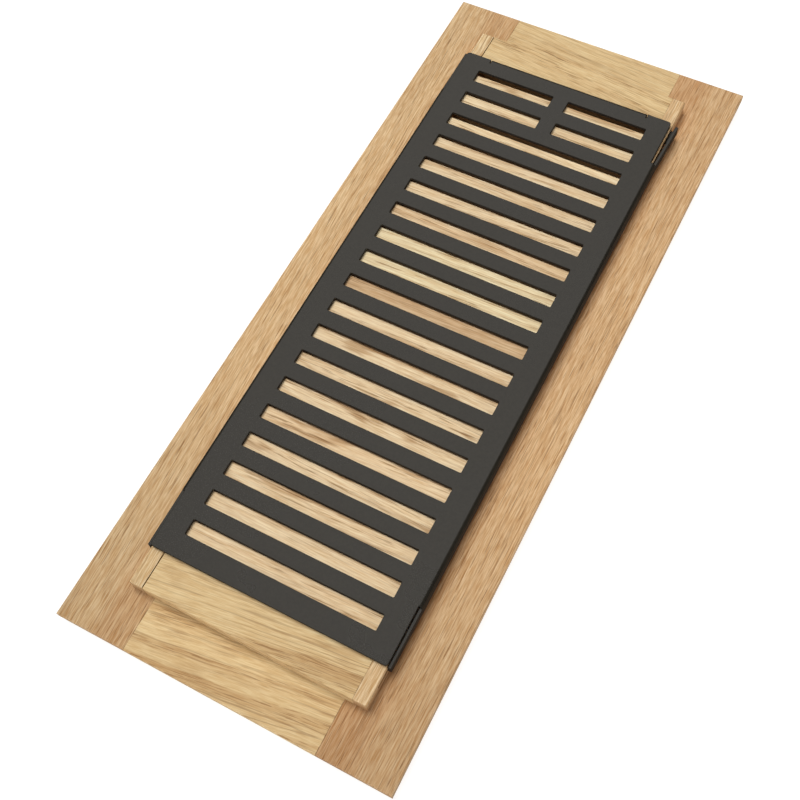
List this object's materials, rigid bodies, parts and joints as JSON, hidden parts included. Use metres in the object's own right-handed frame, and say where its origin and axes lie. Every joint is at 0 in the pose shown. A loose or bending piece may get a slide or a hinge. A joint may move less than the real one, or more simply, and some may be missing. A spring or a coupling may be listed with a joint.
{
  "type": "floor register",
  "caption": "Oak floor register with a stepped frame, cross slats and a folded steel damper that slides along the core to open or close the airway.",
  "frame": {"origin": "centre of the show face, on which the register lies", "axes": "+Y along the frame towards the end with the lever, +Z from the show face towards the duct"},
  "size_m": [0.143, 0.3446, 0.018],
  "materials": {
    "oak_stile": "sanded, unfinished",
    "oak_rail": "sanded, unfinished",
    "oak_slat": "sanded, unfinished",
    "coated_steel": "matt charcoal powder coat"
  },
  "bodies": {
    "frame": {"left_stile": "oak_stile", "right_stile": "oak_stile", "near_rail": "oak_rail", "far_rail": "oak_rail", "slat_01": "oak_slat", "slat_02": "oak_slat", "slat_03": "oak_slat", "slat_04": "oak_slat", "slat_05": "oak_slat", "slat_06": "oak_slat", "slat_07": "oak_slat", "slat_08": "oak_slat", "slat_09": "oak_slat", "slat_10": "oak_slat", "slat_11": "oak_slat", "slat_12": "oak_slat", "slat_13": "oak_slat", "slat_14": "oak_slat", "slat_15": "oak_slat", "slat_16": "oak_slat", "slat_17": "oak_slat", "slat_18": "oak_slat", "slat_19": "oak_slat"},
    "damper_slider": {"damper": "coated_steel", "lever": "coated_steel"}
  },
  "joints": [
    {"name": "damper_slide", "type": "slide", "parent": "frame", "child": "damper_slider", "axis": [0, -1, 0], "range_m": [0, 0.00683]}
  ]
}
